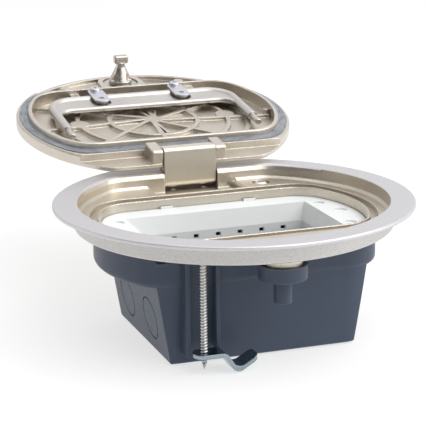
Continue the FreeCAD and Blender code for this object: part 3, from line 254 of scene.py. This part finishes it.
def plastic(name, tone, tone2, rough=0.38, grain=700.0, bump=0.10, edge=0.0006, scuff=0.15, scuff_and_edge_highlight=(0.3, 0.33, 0.38, 1), gloss=0.5):
    """Moulded plastic: eroded texture, soft mottling, scuff marks, edges painted slightly lighter as a highlight."""
    g = Graph(name)
    cloud = g.noise(24.0, 4.0, 0.55)
    fine = g.noise(grain, 2.0, 0.55)
    marks = g.noise(170.0, 4.0, 0.7, g.stretch((1.0, 1.0, 0.35)))
    e, soft = g.edge(edge)
    col = g.mix(g.remap(cloud, 0.3, 0.7), tone, tone2)
    col = g.mix(g.math("MULTIPLY", g.remap(marks, 0.62, 0.8), scuff), col, scuff_and_edge_highlight)
    # edges painted lighter: a painted highlight
    col = g.mix(g.math("MULTIPLY", g.remap(e, 0.02, 0.25), 0.35), col, scuff_and_edge_highlight)
    g.link(col, g.bsdf.inputs["Base Color"])
    g.link(g.math("ADD", g.remap(fine, 0.3, 0.7, rough - 0.04, rough + 0.05),
                  g.math("MULTIPLY", g.remap(marks, 0.55, 0.8), 0.06)), g.bsdf.inputs["Roughness"])
    g.link(g.bump(fine, bump, 0.00015), g.bsdf.inputs["Normal"])
    g.bsdf.inputs["Specular IOR Level"].default_value = gloss
    return g.mat


def streaky_seal(name):
    """Foamed seal with long pale streaks that follow its run."""
    g = Graph(name)
    x, y, z = g.axes()
    radius = g.math("SQRT", g.math("ADD", g.math("MULTIPLY", x, x),
                                   g.math("MULTIPLY", g.math("SUBTRACT", y, 0.1245), g.math("SUBTRACT", y, 0.1245))))
    ang = g.math("ARCTAN2", g.math("SUBTRACT", y, 0.1245), x)
    comb = g.nt.nodes.new("ShaderNodeCombineXYZ")
    g.link(g.math("MULTIPLY", radius, 1.0), comb.inputs[0])
    g.link(g.math("MULTIPLY", ang, 0.0045), comb.inputs[1])
    g.link(g.math("MULTIPLY", z, 0.4), comb.inputs[2])
    streak = g.noise(1500.0, 3.0, 0.65, comb.outputs[0], 0.4)
    fine = g.noise(2200.0, 2.0)
    col = g.mix(g.remap(streak, 0.34, 0.66), rgb(84, 88, 96), rgb(150, 154, 162))
    col = g.mix(g.remap(fine, 0.45, 0.72, 0.0, 0.25), col, rgb(196, 198, 204))
    g.link(col, g.bsdf.inputs["Base Color"])
    g.link(g.remap(streak, 0.3, 0.7, 0.46, 0.30), g.bsdf.inputs["Roughness"])
    g.link(g.bump(streak, 0.30, 0.0002), g.bsdf.inputs["Normal"])
    return g.mat


RING_TOP = (rgb(205, 203, 206), rgb(214, 212, 214))
# darker, warmer copy of the ring lacquer for the collar side: painted shade
RING_SIDE_SHADED = (rgb(186, 184, 182), rgb(212, 210, 207))
CAST = cast_metal("cast_nickel_satin", rgb(213, 205, 193), rgb(199, 190, 177), rgb(229, 223, 214))
RING = cast_metal("cast_ring_satin", rgb(216, 208, 195), rgb(201, 192, 177), rgb(232, 226, 216), ring=True)
BOW = cast_metal("cast_bow_satin", rgb(209, 205, 201), rgb(200, 195, 190), rgb(221, 218, 215), rough=0.36, grain_amt=0.25, glint=0.3, sand=0.10)
LINKM = cast_metal("cast_link_satin", rgb(224, 216, 202), rgb(216, 207, 192), rgb(235, 229, 218), rough=0.42, glint=0.5, sand=0.20)
LOCKM = cast_metal("cast_lock_bright", rgb(205, 198, 189), rgb(190, 182, 172), rgb(230, 226, 220), rough=0.27, grain_amt=0.2, glint=0.6, sand=0.06)
SCREW = bright_metal("plated_screw_steel", (0.56, 0.56, 0.55, 1), 0.24)
WASHER = bright_metal("plated_washer_steel", (0.50, 0.49, 0.47, 1), 0.28, tint=(0.58, 0.57, 0.55, 1))
CLIP = bright_metal("plated_clip_steel", (0.62, 0.62, 0.66, 1), 0.36, tint=(0.68, 0.68, 0.73, 1), streak_and_edge_highlight=(0.82, 0.82, 0.85, 1))
CLAW = bright_metal("zinc_plated_claw", (0.33, 0.40, 0.43, 1), 0.20, (0.5, 3, 1), 0.0006, (0.26, 0.34, 0.36, 1), (0.46, 0.48, 0.56, 1))
TUB = plastic("tub_blue_grey", rgb(68, 77, 92), rgb(73, 82, 98), 0.40, bump=0.03, scuff=0.0, gloss=0.22)
WHITE = plastic("carrier_white", rgb(232, 235, 234), rgb(238, 240, 239), 0.40, 900.0, 0.05, 0.0006, 0.05, rgb(250, 251, 251))
BLACK = plastic("seal_black", rgb(34, 35, 37), rgb(44, 45, 48), 0.55, 1400.0, 0.2, 0.0004, 0.1, rgb(80, 82, 86))
GASKET = streaky_seal("gasket_streaked")
BRASS = bright_metal("earth_brass_plain", (0.72, 0.53, 0.22, 1), 0.3, (1, 1, 1), 0.0003, (0.62, 0.44, 0.18, 1), (0.85, 0.70, 0.38, 1))

LOOK = {
    "floor_ring": RING, "tub": TUB, "tub_seal": BLACK, "lock_cup": TUB, "device_carrier": WHITE,
    "frame_screws": SCREW, "earth_tag": BRASS, "earth_screw": BRASS, "frame_hinge_pin": SCREW,
    "claw_screw_seals": BLACK, "hinge_link": LINKM, "lid": CAST, "lid_gasket": GASKET,
    "lid_hinge_pin": SCREW, "bow_clip_left": CLIP, "bow_clip_right": CLIP, "clip_screws": CLIP,
    "lock_washer": WASHER, "stay_bow": BOW, "lock_disc": CAST, "lock_bolt": LOCKM,
    "lock_o_ring": BLACK, "front_claw_screw": SCREW, "front_claw": CLAW,
    "rear_claw_screw": SCREW, "rear_claw": CLAW,
}
for node, obj in NODES.items():
    obj.data.materials.clear()
    obj.data.materials.append(LOOK[node])


# ------------------------------------------------------- threaded claw screws
def threaded_screw(name, x, y, mat):
    """Pan head screw, V thread from the head to a drilled point."""
    head_z, under_z, tip_z = -4.9 * MM, -6.9 * MM, -60.9 * MM
    crest, root, pitch = 1.745 * MM, 1.30 * MM, 1.39 * MM
    sides, per = 28, 8
    bm = bmesh.new()
    rings = []
    steps = int((under_z - tip_z) / pitch * per)
    for i in range(steps + 1):
        z = under_z - (under_z - tip_z) * i / steps
        fall = min(1.0, (z - tip_z) / (5.2 * MM))
        ring = []
        for j in range(sides):
            a = 2 * math.pi * j / sides
            u = (z / pitch - j / sides) % 1.0
            tooth = max(0.0, 1.0 - abs(u - 0.5) / 0.36)
            core = root * min(1.0, 0.04 + fall * 1.05)
            r = core + (crest - root) * tooth * min(1.0, fall * 1.6 + 0.05)
            ring.append(bm.verts.new((x + r * math.cos(a), y + r * math.sin(a), z)))
        rings.append(ring)
    for a, b in zip(rings, rings[1:]):
        for j in range(sides):
            k = (j + 1) % sides
            bm.faces.new((a[j], a[k], b[k], b[j]))
    bm.faces.new(rings[-1][::-1])
    # head: washer face, rounded side, dome
    prof = [(3.48, -6.9), (3.5, -6.75), (3.5, -6.1), (3.36, -5.66), (3.0, -5.3), (2.4, -5.08), (1.6, -4.96), (0.9, -4.9)]
    last = rings[0]
    for r, z in prof:
        ring = [bm.verts.new((x + r * MM * math.cos(2 * math.pi * j / sides),
                              y + r * MM * math.sin(2 * math.pi * j / sides), z * MM)) for j in range(sides)]
        for j in range(sides):
            k = (j + 1) % sides
            bm.faces.new((ring[j], ring[k], last[k], last[j]))
        last = ring
    bm.faces.new(last)
    bmesh.ops.recalc_face_normals(bm, faces=bm.faces)
    me = bpy.data.meshes.new(name)
    bm.to_mesh(me)
    bm.free()
    for p in me.polygons:
        p.use_smooth = True
    ob = bpy.data.objects.new(name, me)
    bpy.context.collection.objects.link(ob)
    # cross recess
    cutter = bmesh.new()
    for rot in (0.0, math.pi / 2):
        m = Matrix.Translation((x, y, -5.3 * MM)) @ Matrix.Rotation(rot + 0.5, 4, "Z")
        geo = bmesh.ops.create_cube(cutter, size=1.0, matrix=m @ Matrix.Diagonal((3.6 * MM, 0.66 * MM, 1.5 * MM, 1.0)))
    cm = bpy.data.meshes.new(name + "_cut")
    cutter.to_mesh(cm)
    cutter.free()
    cob = bpy.data.objects.new(name + "_cut", cm)
    bpy.context.collection.objects.link(cob)
    mod = ob.modifiers.new("cross", "BOOLEAN")
    mod.operation = "DIFFERENCE"
    mod.object = cob
    mod.solver = "EXACT"
    mod.use_self = True
    dg = bpy.context.evaluated_depsgraph_get()
    done = bpy.data.meshes.new_from_object(ob.evaluated_get(dg))
    ob.modifiers.clear()
    old = ob.data
    ob.data = done
    bpy.data.meshes.remove(old)
    bpy.data.objects.remove(cob)
    ob.data.materials.clear()
    ob.data.materials.append(mat)
    return ob


for side, x, y in (("front", -33.9, -53.0), ("rear", 33.9, 53.0)):
    s = threaded_screw("%s_threaded_screw" % side, x * MM, y * MM, thread_steel("threaded_steel_%s" % side, x * MM, y * MM))
    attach(s, "%s_screw" % side)
    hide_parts("%s_claw_screw" % side)

# ---------------------------------------------------------------------- stage
low = CAD_BOX[0][2] if hasattr(CAD_BOX[0], "__len__") else CAD_BOX[2]
bm = bmesh.new()
bmesh.ops.create_grid(bm, x_segments=1, y_segments=1, size=6.0)
me = bpy.data.meshes.new("floor")
bm.to_mesh(me)
bm.free()
floor = bpy.data.objects.new("floor", me)
floor.location = (0, 0, low - 0.0006)
bpy.context.collection.objects.link(floor)
fm = bpy.data.materials.new("pale_floor")
fm.use_nodes = True
nt = fm.node_tree
nt.nodes.clear()
o = nt.nodes.new("ShaderNodeOutputMaterial")
mixs = nt.nodes.new("ShaderNodeMixShader")
em = nt.nodes.new("ShaderNodeEmission")
em.inputs["Color"].default_value = (1, 1, 1, 1)
em.inputs["Strength"].default_value = 1.10
df = nt.nodes.new("ShaderNodeBsdfDiffuse")
df.inputs["Color"].default_value = (0.92, 0.92, 0.92, 1)
mixs.inputs[0].default_value = 0.40
nt.links.new(em.outputs[0], mixs.inputs[1])
nt.links.new(df.outputs[0], mixs.inputs[2])
nt.links.new(mixs.outputs[0], o.inputs[0])
me.materials.append(fm)

world = bpy.data.worlds.new("studio")
bpy.context.scene.world = world
world.use_nodes = True
wt = world.node_tree
bg = wt.nodes["Background"]
wc = wt.nodes.new("ShaderNodeTexCoord")
wd = wt.nodes.new("ShaderNodeVectorMath")
wd.operation = "DOT_PRODUCT"
wd.inputs[1].default_value = (0.70, 0.70, 0.12)
wr = wt.nodes.new("ShaderNodeMapRange")
wr.interpolation_type = "SMOOTHSTEP"
for k, x in zip(("From Min", "From Max", "To Min", "To Max"), (-0.85, 0.95, 0.12, 0.96)):
    wr.inputs[k].default_value = x
wt.links.new(wc.outputs["Generated"], wd.inputs[0])
wt.links.new(wd.outputs["Value"], wr.inputs["Value"])
wt.links.new(wr.outputs["Result"], bg.inputs["Strength"])
bg.inputs["Color"].default_value = (0.985, 0.99, 1.0, 1)


def softbox(name, loc, target, size, power, color=(1, 1, 1)):
    li = bpy.data.lights.new(name, "AREA")
    li.shape = "RECTANGLE"
    li.size, li.size_y = size
    li.energy = power
    li.color = color
    ob = bpy.data.objects.new(name, li)
    ob.location = loc
    ob.rotation_euler = (Vector(target) - Vector(loc)).to_track_quat("-Z", "Y").to_euler()
    bpy.context.collection.objects.link(ob)
    return ob


softbox("top", (0.0, 0.0, 1.5), (0, 0.03, 0), (2.4, 2.4), 12.0)
softbox("key", (0.72, -0.85, 1.15), (0, 0, 0), (2.2, 1.6), 20.0)
softbox("right", (1.35, -0.62, 0.32), (0, 0, 0), (0.9, 0.8), 3.0)
softbox("left_back", (-1.3, 0.75, 0.42), (0, 0.03, 0), (0.8, 0.8), 1.8)

# --------------------------------------------------------------------- camera
F, DIST, AZ, EL, ROLL, PX, PY = 1681.226, 0.788583, -20.1033, 14.0579, 0.478026, 233.8258, 198.4361
a, e, r = math.radians(AZ), math.radians(EL), math.radians(ROLL)
back = Vector((math.sin(a) * math.cos(e), -math.cos(a) * math.cos(e), math.sin(e)))
right = Vector((math.cos(a), math.sin(a), 0))
up = back.cross(right)
v = Vector(((PX - 213) / F, -(PY - 213) / F, -1.0)).normalized()
turn = Vector((0, 0, -1)).rotation_difference(v).to_matrix()
base = Matrix((right, up, back))
roll = Matrix(((math.cos(r), -math.sin(r), 0), (math.sin(r), math.cos(r), 0), (0, 0, 1)))
world_to_cam = roll @ turn @ base
cam_data = bpy.data.cameras.new("camera")
cam_data.sensor_fit = "HORIZONTAL"
cam_data.sensor_width = 36.0
cam_data.lens = F * 36.0 / 426.0
cam_data.clip_start = 0.01
cam = bpy.data.objects.new("camera", cam_data)
m = world_to_cam.transposed().to_4x4()
m.translation = back * DIST + Vector((0, 0, 0.0017))
cam.matrix_world = m
bpy.context.collection.objects.link(cam)
scene = bpy.context.scene
scene.camera = cam
scene.view_settings.view_transform = "Standard"
scene.view_settings.look = "None"
